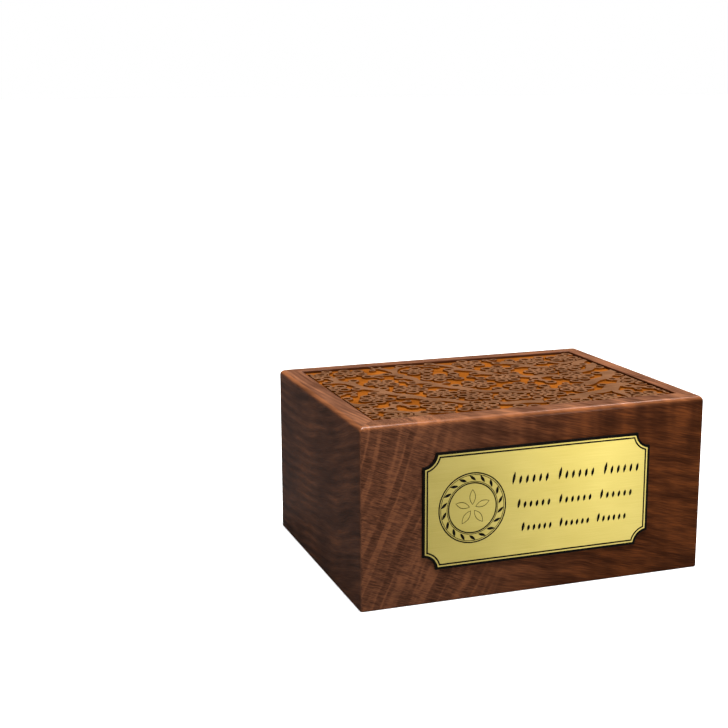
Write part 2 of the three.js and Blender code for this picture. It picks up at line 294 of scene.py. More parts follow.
def place_along(line, share):
    """The point at a share of a line's length, and the heading there."""
    last = len(line) - 1
    k = min(int(share * last), last - 1)
    f = share * last - k
    a, b = line[k], line[k + 1]
    point = (a[0] + (b[0] - a[0]) * f, a[1] + (b[1] - a[1]) * f)
    return point, math.atan2(b[1] - a[1], b[0] - a[0])


# Layout of the carved tree

def grid_points(top):
    """Points of an even grid over the panel, row by row from the back."""
    rows = int((HALF_D + top) / GRID)
    columns = int(2 * HALF_W / GRID)
    for j in range(rows):
        for i in range(columns):
            yield (-HALF_W + GRID * (i + 1), top - GRID * (j + 1))


def tree_layout():
    """Blossoms with their turn, buds, and twigs from root to tip, one set after the other."""
    lines = {name: limb_line(path, LIMB_STEP) for name, (path, _, _) in LIMBS.items()}
    marks = []
    for name, (_, root, tip) in LIMBS.items():
        count = MARKS_PER_STEP * (len(lines[name]) - 1)
        for i in range(count + 1):
            point, _ = place_along(lines[name], i / count)
            marks.append((point, (root + (tip - root) * i / count) / 2))
    blossoms, buds, twigs = [], [], []

    def limb_gap(p):
        return min(math.dist(p, at) - half for at, half in marks)

    def clear_of_blossoms(p, gap):
        return all(math.dist(p, at) > gap for at, _ in blossoms)

    for limb, side, reach, first, last, count in BLOSSOM_ROWS:
        for i in range(count):
            share = first + (last - first) * i / max(count - 1, 1)
            point, heading = place_along(lines[limb], share)
            at = polar(point, reach, heading - side * math.pi / 2)
            if clear_of_blossoms(at, ROW_SPACING * BLOSSOM_R):
                blossoms.append((at, heading))
    for at in grid_points(HALF_D - BLOSSOM_BACK_STRIP):
        if limb_gap(at) > FILL_LIMB_GAP * BLOSSOM_R and clear_of_blossoms(at, FILL_SPACING * BLOSSOM_R):
            blossoms.append((at, BLOSSOM_TURN * len(blossoms)))

    def grow_twig(root, tip):
        fits = (
            abs(tip[0]) < HALF_W - BUD_BORDER * BUD_R
            and abs(tip[1]) < HALF_D - BUD_BORDER * BUD_R
            and clear_of_blossoms(tip, BLOSSOM_R + BUD_BLOSSOM_GAP * BUD_R)
            and all(math.dist(tip, bud) > BUD_SPACING * BUD_R for bud in buds)
            and limb_gap(tip) > BUD_LIMB_GAP * BUD_R
        )
        if fits:
            twigs.append((root, tip))
            buds.append(tip)

    for line in lines.values():
        end, heading = place_along(line, 1)
        for turn in (-FORK_TURN, 0, FORK_TURN):
            grow_twig(end, polar(end, FORK_LENGTH, heading + math.radians(turn)))
        count = int((len(line) - 1) * LIMB_STEP / TWIG_EVERY)
        for i in range(1, count):
            point, heading = place_along(line, i / count)
            for turn in (TWIG_TURN, -TWIG_TURN):
                grow_twig(point, polar(point, TWIG_LENGTH, heading + math.radians(turn)))
    for tip in grid_points(HALF_D - BUD_BACK_STRIP):
        roots = [at for at, _ in marks] + [at for at, _ in blossoms] + buds
        root = min(roots, key=lambda p: math.dist(tip, p))
        if math.dist(tip, root) < LONGEST_STEM:
            grow_twig(root, tip)
    return blossoms, buds, twigs


# Fields of distance on a raster, and the surface between their contours

class Raster:
    """Distances to forms on an even grid: under 0 inside a form, FAR where nothing is near."""

    FAR = 99.0
    MARGIN = 4.5
    TINY = 1e-9
    MERGE = 1e-6

    def __init__(self, half_w, half_h, step):
        columns = math.ceil(2 * half_w / step)
        rows = math.ceil(2 * half_h / step)
        self.x = np.linspace(-half_w, half_w, columns + 1)
        self.y = np.linspace(-half_h, half_h, rows + 1)

    def empty(self):
        return np.full((len(self.y), len(self.x)), self.FAR)

    def everywhere(self):
        return np.meshgrid(self.x, self.y)

    def join(self, field, distance, centre, reach, fillet=0.0):
        """Adds a form to a field, near its centre only, with a fillet where it meets the others."""
        reach += self.MARGIN
        i0, i1 = np.searchsorted(self.x, (centre[0] - reach, centre[0] + reach))
        j0, j1 = np.searchsorted(self.y, (centre[1] - reach, centre[1] + reach))
        if i0 < i1 and j0 < j1:
            part = field[j0:j1, i0:i1]
            new = distance(*np.meshgrid(self.x[i0:i1], self.y[j0:j1]))
            swell = np.maximum(fillet - np.abs(part - new), 0) ** 2 / max(4 * fillet, self.TINY)
            field[j0:j1, i0:i1] = np.minimum(part, new) - swell

    def disc(self, field, centre, radius, fillet=0.0):
        def distance(gx, gy):
            return np.hypot(gx - centre[0], gy - centre[1]) - radius

        self.join(field, distance, centre, radius, fillet)

    def stroke(self, field, a, b, width_a, width_b, fillet=0.0):
        """A straight stroke whose width changes evenly from a to b."""
        dx, dy = b[0] - a[0], b[1] - a[1]

        def distance(gx, gy):
            t = np.clip(((gx - a[0]) * dx + (gy - a[1]) * dy) / (dx * dx + dy * dy), 0, 1)
            across = np.hypot(gx - a[0] - t * dx, gy - a[1] - t * dy)
            return across - (width_a + (width_b - width_a) * t) / 2

        middle = ((a[0] + b[0]) / 2, (a[1] + b[1]) / 2)
        self.join(field, distance, middle, math.dist(a, b) / 2 + max(width_a, width_b), fillet)

    def leaf(self, field, centre, long, wide, turn, outline=None):
        """A pointed leaf, filled or drawn as an outline."""
        def distance(gx, gy):
            u = (gx - centre[0]) * math.cos(turn) + (gy - centre[1]) * math.sin(turn)
            v = (gy - centre[1]) * math.cos(turn) - (gx - centre[0]) * math.sin(turn)
            t = np.clip(2 * u / long, -1, 1)
            edge = np.hypot(u - t * long / 2, v) - (1 - t * t) * wide / 2
            return edge if outline is None else np.abs(edge) - outline / 2

        self.join(field, distance, centre, long / 2)

    def sample(self, field, points):
        """The field at any points, linear between the grid's own."""
        fx = np.interp(points[:, 0], self.x, np.arange(len(self.x)))
        fy = np.interp(points[:, 1], self.y, np.arange(len(self.y)))
        i = np.minimum(fx.astype(int), len(self.x) - 2)
        j = np.minimum(fy.astype(int), len(self.y) - 2)
        u, v = fx - i, fy - j
        low = field[j, i] * (1 - u) + field[j, i + 1] * u
        high = field[j + 1, i] * (1 - u) + field[j + 1, i + 1] * u
        return low * (1 - v) + high * v

    def contour(self, field, level):
        """Points where the grid's lines cross a level, and the edges that join them."""
        inside = field < level
        flat = inside[:, :-1] != inside[:, 1:]
        steep = inside[:-1] != inside[1:]
        flat_id = np.where(flat, np.cumsum(flat).reshape(flat.shape) - 1, -1)
        steep_id = np.where(steep, np.cumsum(steep).reshape(steep.shape) - 1 + flat.sum(), -1)
        j, i = np.nonzero(flat)
        share = (level - field[j, i]) / (field[j, i + 1] - field[j, i])
        on_flat = np.stack([self.x[i] + share * (self.x[i + 1] - self.x[i]), self.y[j]], 1)
        j, i = np.nonzero(steep)
        share = (level - field[j, i]) / (field[j + 1, i] - field[j, i])
        on_steep = np.stack([self.x[i], self.y[j] + share * (self.y[j + 1] - self.y[j])], 1)
        sides = np.stack([flat_id[:-1], steep_id[:, 1:], flat_id[1:], steep_id[:, :-1]], -1)
        crossed = (sides >= 0).sum(-1)
        simple = sides[crossed == 2]
        edges = [simple[simple >= 0].reshape(-1, 2)]
        centre_in = (field[:-1, :-1] + field[1:, :-1] + field[:-1, 1:] + field[1:, 1:]) / 4 < level
        for j, i in zip(*np.nonzero(crossed == 4)):
            low, right, high, left = sides[j, i]
            turned = inside[j, i] == centre_in[j, i]
            edges.append([[low, right], [high, left]] if turned else [[low, left], [high, right]])
        return np.concatenate([on_flat, on_steep]), np.concatenate(edges)


def triangulate(outline, contours):
    """Triangles that fill an outline and keep to every contour."""
    points = [np.asarray(outline, float)]
    count = len(outline)
    edges = [np.array([(i, (i + 1) % count) for i in range(count)])]
    for contour_points, contour_edges in contours:
        edges.append(contour_edges + count)
        points.append(contour_points)
        count += len(contour_points)
    vectors = [Vector(p) for p in np.concatenate(points)]
    keep_inside = 1
    edges = np.concatenate(edges).tolist()
    made = delaunay_2d_cdt(vectors, edges, [], keep_inside, Raster.MERGE, False)
    return np.array([tuple(p) for p in made[0]]), np.array(made[2])


# Pieces

def add_piece(name, points, faces, materials, node, face_material=None):
    """A mesh in the frame, from millimetres, that stands for a node of the frame."""
    mesh = bpy.data.meshes.new(name)
    mesh.from_pydata((np.asarray(points) * MM).tolist(), [], [list(map(int, f)) for f in faces])
    for material in materials:
        mesh.materials.append(material)
    if face_material is not None:
        mesh.polygons.foreach_set("material_index", np.asarray(face_material, np.int32))
    mesh.shade_smooth()
    mesh.set_sharp_from_angle(angle=math.radians(SHARP_DEG))
    mesh.update()
    piece = bpy.data.objects.new(name, mesh)
    bpy.context.scene.collection.objects.link(piece)
    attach(piece, "root")
    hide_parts(node)
    return piece


def arc(centre, radius, start, end, steps):
    turns = np.radians(np.linspace(start, end, steps + 1))
    return [polar(centre, radius, turn) for turn in turns]


def board_section():
    """A board's section as (depth from the outer face, height), with the count of its outer points."""
    groove_top = PANEL_LOW[2] + TONGUE_T + JOINT_GAP
    outer = [
        *arc((FOOT_ROUND, FOOT_ROUND), FOOT_ROUND, 270, 180, ARC_STEPS // 2),
        *arc((TOP_ROUND, BOX_H - TOP_ROUND), TOP_ROUND, 180, 90, ARC_STEPS),
    ]
    inner = [
        *arc((WALL_T - RIM_EASE, BOX_H - RIM_EASE), RIM_EASE, 90, 0, ARC_STEPS // 2),
        (WALL_T, groove_top),
        (WALL_T - TONGUE, groove_top),
        (WALL_T - TONGUE, PANEL_LOW[2]),
        (WALL_T, PANEL_LOW[2]),
        (WALL_T, BASE_T),
        (WALL_T - REBATE, BASE_T),
        (WALL_T - REBATE, 0.0),
    ]
    return outer + inner, len(outer)


def board_mesh(length):
    """A mitred board: section after section along it, fanning out to the mitres, outer corners rounded."""
    section, outer_count = board_section()
    turns = np.radians(np.linspace(45, 90, CORNER_STEPS + 1))
    mitre_back = CORNER_ROUND * (1 - math.cos(math.pi / 4))
    points = []
    for end, order in ((-1, turns), (1, turns[::-1])):
        for turn in order:
            back = CORNER_ROUND * (1 - math.cos(turn))
            sink = CORNER_ROUND * (1 - math.sin(turn))
            for k, (depth, height) in enumerate(section):
                if k < outer_count:
                    points.append((end * (length / 2 - depth - back), depth + sink, height))
                else:
                    points.append((end * (length / 2 - depth - back + mitre_back), depth, height))
    size = len(section)
    stations = len(points) // size
    faces = [
        (s * size + k, s * size + (k + 1) % size, (s + 1) * size + (k + 1) % size, (s + 1) * size + k)
        for s in range(stations - 1)
        for k in range(size)
    ]
    faces.append(tuple(range(size))[::-1])
    faces.append(tuple(range((stations - 1) * size, stations * size)))
    return np.array(points), [f[::-1] for f in faces]


def add_board(name, node, length, offset, quarter_turns, material):
    points, faces = board_mesh(length)
    points[:, 1] -= offset
    turn = quarter_turns * math.pi / 2
    x = points[:, 0] * math.cos(turn) - points[:, 1] * math.sin(turn)
    y = points[:, 0] * math.sin(turn) + points[:, 1] * math.cos(turn) + BODY_Y
    return add_piece(name, np.stack([x, y, points[:, 2]], 1), faces, [material], node)


def add_base(material):
    """The base: a plain board with eased edges."""
    low, high = node_box("base_panel")
    points = []
    for inset, z in (
        (BASE_EASE, low[2]), (0.0, low[2] + BASE_EASE), (0.0, high[2] - BASE_EASE), (BASE_EASE, high[2]),
    ):
        x0, x1, y0, y1 = low[0] + inset, high[0] - inset, low[1] + inset, high[1] - inset
        points += [(x0, y0, z), (x1, y0, z), (x1, y1, z), (x0, y1, z)]
    faces = [
        (ring + k, ring + (k + 1) % 4, ring + 4 + (k + 1) % 4, ring + 4 + k)
        for ring in range(0, len(points) - 4, 4)
        for k in range(4)
    ]
    faces += [(3, 2, 1, 0), tuple(range(len(points) - 4, len(points)))]
    return add_piece("base_board", points, faces, [material], "base_panel")


def relief_field(raster):
    """Distance to the carved tree's outline over the panel, and to the pits in it."""
    blossoms, buds, twigs = tree_layout()
    roots = [at for at, _ in blossoms] + buds
    wood = raster.empty()
    for path, root, tip in LIMBS.values():
        line = limb_line(path, DRAWN_STEP)
        widths = np.linspace(root, tip, len(line))
        roots += line
        for k in range(len(line) - 1):
            raster.stroke(wood, line[k], line[k + 1], widths[k], widths[k + 1])
    for root, tip in twigs:
        raster.stroke(wood, root, tip, TWIG_ROOT_W, TWIG_W, FILLET)
    for bud in buds:
        raster.disc(wood, bud, BUD_R, FILLET / 2)
    flowers = raster.empty()
    cuts = raster.empty()
    for at, turn in blossoms:
        raster.disc(flowers, at, HEART_R)
        raster.disc(cuts, at, PIP_R)
        for i in range(PETALS):
            petal = turn + 2 * math.pi * i / PETALS
            between = petal + math.pi / PETALS
            raster.disc(flowers, polar(at, PETAL_AT, petal), DRAWN_PETAL_R)
            raster.disc(cuts, polar(at, EYE_AT, petal), DRAWN_EYE_R)
            raster.disc(cuts, polar(at, PIP_AT, between), PIP_R)
    for bud in buds:
        raster.disc(cuts, bud, BUD_EYE_R)
    for tip in grid_points(HALF_D - SPRIG_R):
        gap = min(raster.sample(field, np.array([tip]))[0] for field in (wood, flowers))
        root = min(roots, key=lambda p: math.dist(tip, p))
        if gap > SPRIG_GAP and math.dist(tip, root) < LONGEST_STEM:
            raster.stroke(wood, root, tip, SPRIG_STEM_W, SPRIG_STEM_W, SPRIG_FILLET)
            raster.disc(wood, tip, SPRIG_R, SPRIG_FILLET)
            raster.disc(cuts, tip, SPRIG_EYE_R)
            roots.append(tip)
    gx, gy = raster.everywhere()
    border = np.maximum(np.abs(gx) - HALF_W, np.abs(gy) - HALF_D)
    tree = np.minimum(flowers, np.maximum(wood, BLOSSOM_GROOVE - flowers))
    return np.maximum(np.maximum(tree, -cuts), border), cuts


def add_carved_panel(materials):
    """The panel: its relief between contours, then its edge, tongue and underside."""
    edge_w = INNER_W / 2 - JOINT_GAP
    edge_d = INNER_D / 2 - JOINT_GAP
    raster = Raster(edge_w, edge_d, RELIEF_STEP)
    field, pits = relief_field(raster)
    levels, drops = zip(*RELIEF_PROFILE)
    outline = [(-edge_w, -edge_d), (edge_w, -edge_d), (edge_w, edge_d), (-edge_w, edge_d)]
    flat, triangles = triangulate(outline, [raster.contour(field, level) for level in levels])
    depth = np.interp(raster.sample(field, flat), levels, drops)
    points = np.column_stack([flat[:, 0], flat[:, 1] + BODY_Y, PANEL_HIGH[2] - depth])
    faces = [tuple(t) for t in triangles]
    mean_depth = depth[triangles].mean(1)
    kinds = np.full(len(triangles), SIDE)
    kinds[mean_depth < drops[1] * TOP_SHARE] = TOP
    kinds[mean_depth > RELIEF - FLAT] = GROUND
    # pit floors and walls take the darker pit material: painted shade in the pits
    in_pit = raster.sample(pits, flat[triangles].mean(1)) < 0
    kinds[in_pit & (kinds != TOP)] = PIT
    corners = [int(np.argmin(np.hypot(flat[:, 0] - x, flat[:, 1] - y))) for x, y in outline]
    tongue_z = PANEL_LOW[2] + TONGUE_T
    reach_x = PANEL_HIGH[0]
    reach_y = PANEL_HIGH[1] - BODY_Y
    rings = [(edge_w, edge_d, tongue_z), (reach_x, reach_y, tongue_z), (reach_x, reach_y, PANEL_LOW[2])]
    loops = [corners]
    for half_x, half_y, z in rings:
        first = len(points)
        ring = [(-half_x, -half_y), (half_x, -half_y), (half_x, half_y), (-half_x, half_y)]
        points = np.concatenate([points, [(x, y + BODY_Y, z) for x, y in ring]])
        loops.append(list(range(first, first + 4)))
    skirt = [
        (upper[k], lower[k], lower[(k + 1) % 4], upper[(k + 1) % 4])
        for upper, lower in zip(loops, loops[1:])
        for k in range(4)
    ]
    skirt.append(tuple(loops[-1][::-1]))
    kinds = np.concatenate([kinds, np.full(len(skirt), TOP)])
    return add_piece(
        "carved_panel", points, faces + skirt, materials, "carved_top_panel", kinds
    )


def plate_inset(gx, gy, half_w, half_h):
    """How far inside the plate's edge a place lies; the corners are scooped out."""
    sides = np.minimum(half_w - np.abs(gx), half_h - np.abs(gy))
    scoop = np.hypot(half_w - np.abs(gx), half_h - np.abs(gy)) - PLATE_SCOOP
    return np.minimum(sides, scoop)


def engraving_field(raster):
    """Distance to the plate's engraved lines: rows of strokes, and a ringed medallion of leaves."""
    marks = raster.empty()
    for first, last, up, tall in STROKE_ROWS:
        for i in range(STROKE_PLACES):
            if i % STROKE_GROUP == STROKE_GROUP - 1:
                continue
            long = tall if i % STROKE_GROUP == 0 else STROKE_LOW * tall
            centre = (first + (last - first) * i / (STROKE_PLACES - 1), up - tall / 2 + long / 2)
            raster.leaf(marks, centre, long, STROKE_W, math.pi / 2 - STROKE_LEAN)
    middle = (MEDAL_X, 0.0)
    for count, at, leaf, outline in (
        (LEAVES, LEAF_AT, LEAF, None),
        (PETALS, ROSETTE_AT, ROSETTE_LEAF, HAIRLINE),
    ):
        for i in range(count):
            angle = math.pi / 2 + 2 * math.pi * i / count
            long, wide, turn = leaf
            raster.leaf(marks, polar(middle, at, angle), long, wide, angle + turn, outline)
    gx, gy = raster.everywhere()
    radius = np.hypot(gx - MEDAL_X, gy)
    lines = [(ring, MEDAL_LINE) for ring in MEDAL_RINGS] + [(ring, HAIRLINE) for ring in HAIR_RINGS]
    for ring, line in lines:
        marks = np.minimum(marks, np.abs(radius - ring + line / 2) - line / 2)
    return marks


def add_name_plate(materials):
    """The plate: its engraved face between contours, then its edge and back."""
    half_w = (PLATE_HIGH[0] - PLATE_LOW[0]) / 2
    half_h = (PLATE_HIGH[2] - PLATE_LOW[2]) / 2
    middle_z = (PLATE_HIGH[2] + PLATE_LOW[2]) / 2
    raster = Raster(half_w, half_h, PLATE_STEP)
    inset = plate_inset(*raster.everywhere(), half_w, half_h)
    marks = engraving_field(raster)
    contours = [raster.contour(inset, level) for level in (BLACK_EDGE, GOLD_LINE_END, BLACK_LINE_END)]
    contours += [raster.contour(marks, level) for level in (-ENGRAVED_SLOPE, 0.0)]
    corners = ((-half_w, -half_h), (half_w, -half_h), (half_w, half_h), (-half_w, half_h))
    outline = []
    for k, corner in enumerate(corners):
        outline += arc(corner, PLATE_SCOOP, 90 + 90 * k, 90 * k, SCOOP_STEPS)
    flat, triangles = triangulate(outline, contours)
    centres = flat[triangles].mean(1)
    inside = plate_inset(centres[:, 0], centres[:, 1], half_w, half_h)
    kept = inside > 0
    triangles, centres, inside = triangles[kept], centres[kept], inside[kept]
    sunk = np.interp(raster.sample(marks, flat), (-ENGRAVED_SLOPE, 0.0), (ENGRAVING, 0.0))
    face = np.column_stack([flat[:, 0], PLATE_LOW[1] + sunk, flat[:, 1] + middle_z])
    black = (inside < BLACK_EDGE) | ((inside > GOLD_LINE_END) & (inside < BLACK_LINE_END))
    black |= raster.sample(marks, centres) < 0
    rim = [int(np.argmin(np.hypot(flat[:, 0] - x, flat[:, 1] - y))) for x, y in outline]
    back = [(x, PLATE_HIGH[1], y + middle_z) for x, y in outline]
    first, count = len(face), len(rim)
    edge = [(rim[k], first + k, first + (k + 1) % count, rim[(k + 1) % count]) for k in range(count)]
    edge.append(tuple(range(first, first + count))[::-1])
    faces = [tuple(t) for t in triangles] + edge
    kinds = np.concatenate([black.astype(int), np.ones(len(edge))])
    return add_piece(
        "engraved_plate", np.concatenate([face, back]), faces, materials, "name_plate", kinds
    )


# Materials

def linear(red, green, blue):
    """A colour from 8-bit screen values."""
    return tuple(
        (c / 255 / 12.92 if c <= 10 else ((c / 255 + 0.055) / 1.055) ** 2.4) for c in (red, green, blue)
    ) + (1.0,)


# Usual range of a noise, range of the boards' tone, and the normal's largest part on faces and on edges
NOISE = (0.3, 0.7)
GRAIN = (0.35, 0.65)
EDGE_FACING = (0.97, 0.78)


class Nodes:
    """Shorthand for wiring one material. Places are in millimetres, a noise's cells are per millimetre."""

    def __init__(self, name):
        self.material = bpy.data.materials.new(name)
        self.material.use_nodes = True
        self.tree = self.material.node_tree
        self.shader = self.tree.nodes["Principled BSDF"]
        place = self.add("ShaderNodeTexCoord").outputs["Object"]
        millimetres = self.add("ShaderNodeVectorMath", {"operation": "SCALE"}, {0: place, "Scale": 1 / MM})
        split = self.add("ShaderNodeSeparateXYZ", {}, {0: millimetres.outputs[0]})
        self.x, self.y, self.z = split.outputs

    def add(self, kind, settings=None, sockets=None):
        node = self.tree.nodes.new(kind)
        for name, value in (settings or {}).items():
            setattr(node, name, value)
        for key, value in (sockets or {}).items():
            self.put(node.inputs[key], value)
        return node

    def put(self, socket, value):
        if isinstance(value, bpy.types.NodeSocket):
            self.tree.links.new(value, socket)
        else:
            socket.default_value = value

    def math(self, operation, a, b=0.0, c=0.0):
        return self.add("ShaderNodeMath", {"operation": operation}, {0: a, 1: b, 2: c}).outputs[0]

    def total(self, *terms):
        """Sum of weight times value."""
        result = 0.0
        for weight, value in terms:
            result = self.math("MULTIPLY_ADD", value, weight, result)
        return result

    def vector(self, x, y, z):
        return self.add("ShaderNodeCombineXYZ", {}, {0: x, 1: y, 2: z}).outputs[0]

    def place(self, per_x, per_y, per_z, seed):
        """The place on the part, scaled for a noise."""
        scaled = [self.math("MULTIPLY", v, k) for v, k in ((self.x, per_x), (self.y, per_y))]
        return self.vector(*scaled, self.math("MULTIPLY_ADD", self.z, per_z, seed))

    def strip(self, lines, per_line, run, per_run, seed):
        """A place for a noise that runs on along the growth lines."""
        return self.vector(
            self.math("MULTIPLY", lines, per_line), self.math("MULTIPLY", run, per_run), seed
        )

    def noise(self, vector, detail=3.0, rough=0.5):
        sockets = {"Vector": vector, "Scale": 1.0, "Detail": detail, "Roughness": rough}
        return self.add("ShaderNodeTexNoise", {}, sockets).outputs["Fac"]

    def spread(self, value, low, high, to_low=0.0, to_high=1.0):
        sockets = {"Value": value, "From Min": low, "From Max": high, "To Min": to_low, "To Max": to_high}
        return self.add("ShaderNodeMapRange", {"interpolation_type": "SMOOTHSTEP"}, sockets).outputs[0]

    def ramp(self, value, *stops):
        node = self.add("ShaderNodeValToRGB", {}, {0: value})
        marks = node.color_ramp.elements
        while len(marks) < len(stops):
            marks.new(0.5)
        for mark, (place, colour) in zip(marks, stops):
            mark.position = place
            mark.color = colour
        return node.outputs[0]

    def blend(self, share, a, b, mode="MIX"):
        node = self.add("ShaderNodeMix", {"data_type": "RGBA", "blend_type": mode}, {0: share, 6: a, 7: b})
        return node.outputs[2]

    def between(self, share, a, b):
        return self.math("MULTIPLY_ADD", self.math("SUBTRACT", b, a), share, a)

    def edges(self):
        """1 along rounded edges, 0 on the faces between them."""
        normal = self.add("ShaderNodeNewGeometry").outputs["Normal"]
        size = self.add("ShaderNodeVectorMath", {"operation": "ABSOLUTE"}, {0: normal})
        x, y, z = self.add("ShaderNodeSeparateXYZ", {}, {0: size.outputs[0]}).outputs
        return self.spread(self.math("MAXIMUM", self.math("MAXIMUM", x, y), z), *EDGE_FACING)

    def bump(self, height, strength, distance):
        sockets = {"Height": height, "Strength": strength, "Distance": distance * MM}
        return self.add("ShaderNodeBump", {}, sockets).outputs[0]

    def shade(self, **sockets):
        for name, value in sockets.items():
            self.put(self.shader.inputs[name.replace("_", " ")], value)
        return self.material


# Wood of the boards: its colours by tone, tints for redder wood and for the rim's painted pale sheen, the
# lighter edge (wear and painted light), the inner edge's painted shade
WOOD_TONES = (
    (0.32, linear(60, 34, 21)),
    (0.45, linear(80, 48, 33)),
    (0.55, linear(94, 58, 40)),
    (0.70, linear(120, 74, 49)),
)
RED = (0.78, 0.56, 0.29, 1.0)
PALE_SHEEN = (0.98, 1.06, 1.08, 1.0)
WORN_AND_LIT = linear(140, 82, 44)
INNER_EDGE_SHADE = linear(60, 27, 7)


def satin(nodes, tone, red):
    """Colour and lacquer of a dark board: red deepens it below the rim; painted pale sheen on the rim's top;
    the rounded top edge lighter, part wear, part painted light; painted shade on the inner edge.
    """
    colour = nodes.ramp(tone, *WOOD_TONES)
    # painted sheen: the rim's top gets a paler tint and is kept out of the red deepening
    rim = nodes.spread(nodes.z, BOX_H - TOP_ROUND, BOX_H - SHEEN_FULL)
    deep = nodes.math("MULTIPLY", red, nodes.math("SUBTRACT", 1.0, rim))
    colour = nodes.blend(deep, colour, RED, "MULTIPLY")
    colour = nodes.blend(rim, colour, PALE_SHEEN, "MULTIPLY")
    edge = nodes.edges()
    # the rounded top edge is lightened: partly wear, partly painted light, strongest on the round's lower
    # part
    begin, full = (BOX_H - depth for depth in EDGE_WEAR_AND_LIGHT)
    rubbed_and_lit = nodes.spread(nodes.z, begin, full, 0.08, 0.5)
    begin, full = (BOX_H - depth for depth in EDGE_LIGHT_FADE)
    rubbed_and_lit = nodes.math("MULTIPLY", rubbed_and_lit, nodes.spread(nodes.z, begin, full, 1.0, 0.0))
    wear_and_light = nodes.math("MULTIPLY", rubbed_and_lit, nodes.spread(tone, *GRAIN, 0.5, 1.0))
    wear_and_light = nodes.math("MULTIPLY", wear_and_light, nodes.spread(edge, 0.0, 0.4, 0.3, 1.0))
    colour = nodes.blend(wear_and_light, colour, WORN_AND_LIT)
    # painted shade: the rim's eased inner edge, down into the recess, is darkened
    from_middle = nodes.math("ABSOLUTE", nodes.math("SUBTRACT", nodes.y, BODY_Y))
    past_x = nodes.math("SUBTRACT", nodes.math("ABSOLUTE", nodes.x), INNER_W / 2)
    past_y = nodes.math("SUBTRACT", from_middle, INNER_D / 2)
    begin, full = (share * RIM_EASE for share in INNER_SHADE)
    inside = nodes.spread(nodes.math("MAXIMUM", past_x, past_y), begin, full, 0.0, 0.9)
    inside = nodes.math("MULTIPLY", inside, nodes.spread(nodes.z, PANEL_LOW[2], PANEL_HIGH[2]))
    colour = nodes.blend(inside, colour, INNER_EDGE_SHADE)
    return nodes.shade(
        Base_Color=colour, Roughness=nodes.spread(tone, *GRAIN, 0.40, 0.50),
        Normal=nodes.bump(tone, 0.3, 0.06), Specular_IOR_Level=0.0,
        Coat_Weight=nodes.spread(edge, 0.0, 1.0, 0.1, 0.3), Coat_Roughness=0.2,
    )


def front_wood():
    """Slanting growth bands crossed by fine hairs at the left, soft level streaks at the right."""
    nodes = Nodes("front_wood")
    drift = nodes.noise(nodes.place(1 / 42, 1 / 42, 1 / 42, 3.0), 2.0)
    curl = nodes.noise(nodes.place(1 / 9, 1 / 9, 1 / 9, 3.0), 2.0)
    bend = nodes.total((9.0, drift), (0.9, curl), (0.35, nodes.y))
    drop = nodes.math("SUBTRACT", BOX_H, nodes.z)
    curve = nodes.math("MULTIPLY", drop, drop)
    slant = nodes.total((1.0, nodes.x), (BAND_LEAN, drop), (BAND_CURVE, curve), (1.0, bend))
    down = nodes.total((1.0, nodes.z), (0.4, nodes.x))
    band = nodes.noise(nodes.strip(slant, 1 / 9, down, 1 / 200, 3.0), 1.0)
    patch = nodes.noise(nodes.strip(slant, 1 / 15, down, 1 / 28, 6.0), 2.0)
    mottle = nodes.noise(nodes.strip(slant, 0.45, down, 0.3, 3.0), 2.0)
    hair = nodes.noise(nodes.strip(slant, 1 / 6, down, 2.6, nodes.math("MULTIPLY", nodes.y, 2.6)), 2.0, 0.6)
    line = nodes.spread(nodes.math("ABSOLUTE", nodes.math("SUBTRACT", band, 0.5)), 0.0, 0.07, 0.2, 0.0)
    line = nodes.math("MULTIPLY", line, nodes.spread(patch, 0.35, 0.6, 0.3, 1.0))
    hair = nodes.spread(hair, *NOISE)
    banded = nodes.total((0.32, hair), (0.24, band), (0.22, mottle), (0.18, patch), (1.0, line))
    level = nodes.total((1.0, nodes.z), (0.24, nodes.x), (0.6, bend))
    upright = nodes.total((1.0, nodes.x), (0.6, bend))
    streak = nodes.noise(nodes.strip(level, 1 / 5, nodes.x, 1 / 36, 8.0), 3.0, 0.55)
    grain = nodes.noise(nodes.strip(level, 1.9, nodes.x, 1 / 11, 5.0), 2.0)
    column = nodes.noise(nodes.strip(upright, 1 / 8, nodes.z, 1 / 60, 12.0), 1.0)
    high = nodes.spread(nodes.z, *COLUMNS_UP, 0.1, 0.45)
    broad = nodes.spread(nodes.between(high, streak, column), 0.32, 0.68, 0.26, 0.56)
    foot = nodes.spread(nodes.z, *DARK_FOOT_UP, -0.06, 0.0)
    foot = nodes.math("MULTIPLY", foot, nodes.spread(nodes.x, *DARK_FOOT_ALONG))
    streaked = nodes.total((0.19, nodes.spread(grain, *NOISE)), (1.0, broad), (1.0, foot))
    share = nodes.spread(nodes.total((1.0, nodes.x), (-0.2, drop)), *BANDS_TO_STREAKS)
    tone = nodes.between(share, banded, streaked)
    return satin(nodes, tone, nodes.spread(nodes.x, *REDDER_ALONG))


